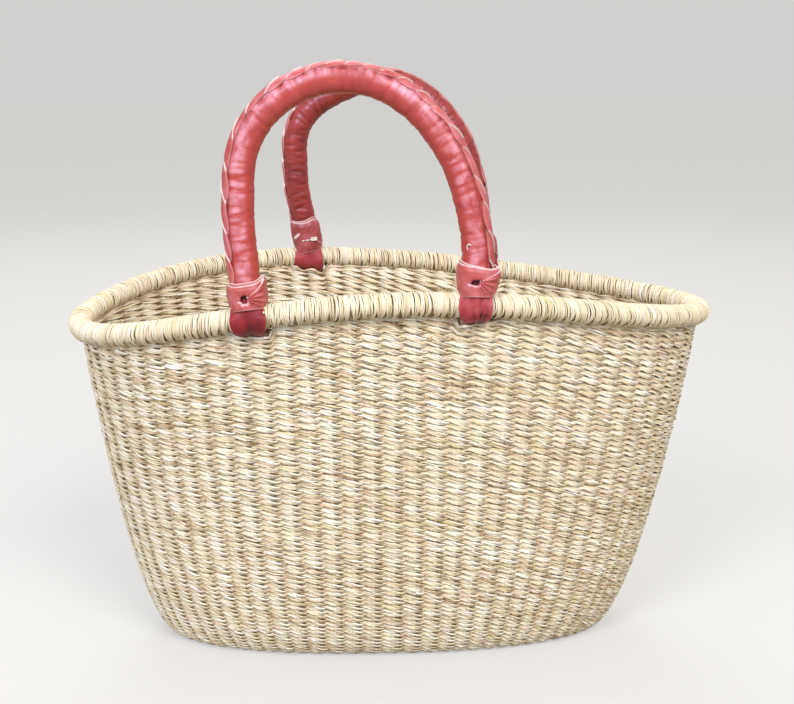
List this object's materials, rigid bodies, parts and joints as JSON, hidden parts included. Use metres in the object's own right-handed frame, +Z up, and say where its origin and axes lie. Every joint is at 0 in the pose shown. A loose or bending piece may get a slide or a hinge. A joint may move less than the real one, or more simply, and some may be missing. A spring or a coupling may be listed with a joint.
{
  "type": "woven straw shopping basket",
  "caption": "Oval twined straw basket with a wrapped rim roll and two leather covered arch handles that tilt on the rim.",
  "frame": {"origin": "middle of the rim's length and depth, on the surface that the flat base stands on", "axes": "+X along the basket's long side towards the fuller end, +Y from the front handle to the rear handle, +Z up"},
  "size_m": [0.4267, 0.2244, 0.3854],
  "materials": {
    "woven_straw": "twined dry grass, satin to matte",
    "straw_binding": "tightly wrapped straw, satin",
    "grass_bundle": "bundled dry grass, matte",
    "sleeve_leather": "dyed leather, satin, creased",
    "seam_leather": "dyed leather strips with pale raw edges",
    "loop_leather": "dyed leather, satin, pleated",
    "band_leather": "dyed leather, matte, pale raw edges",
    "cotton_thread": "undyed thread, matte"
  },
  "bodies": {
    "basket": {"woven_body": "woven_straw", "rim_core": "grass_bundle", "rim_wrap": "straw_binding"},
    "front_handle": {"front_handle_core": "grass_bundle", "front_handle_sleeve": "sleeve_leather", "front_handle_seam": "seam_leather", "front_left_loop": "loop_leather", "front_left_band": "band_leather", "front_left_tail": "band_leather", "front_left_tie": "cotton_thread", "front_right_loop": "loop_leather", "front_right_band": "band_leather", "front_right_tail": "band_leather", "front_right_tie": "cotton_thread"},
    "rear_handle": {"rear_handle_core": "grass_bundle", "rear_handle_sleeve": "sleeve_leather", "rear_handle_seam": "seam_leather", "rear_left_loop": "loop_leather", "rear_left_band": "band_leather", "rear_left_tail": "band_leather", "rear_left_tie": "cotton_thread", "rear_right_loop": "loop_leather", "rear_right_band": "band_leather", "rear_right_tail": "band_leather", "rear_right_tie": "cotton_thread"}
  },
  "joints": [
    {"name": "front_handle_tilt", "type": "hinge", "parent": "basket", "child": "front_handle", "pos_m": [-0.0182, -0.09563, 0.24193], "axis": [0.9974, -0.0441, 0.0565], "range_deg": [-35, 110]},
    {"name": "rear_handle_tilt", "type": "hinge", "parent": "basket", "child": "rear_handle", "pos_m": [0.0085, 0.09624, 0.24264], "axis": [-0.9974, 0.0174, 0.0701], "range_deg": [-35, 110]}
  ]
}
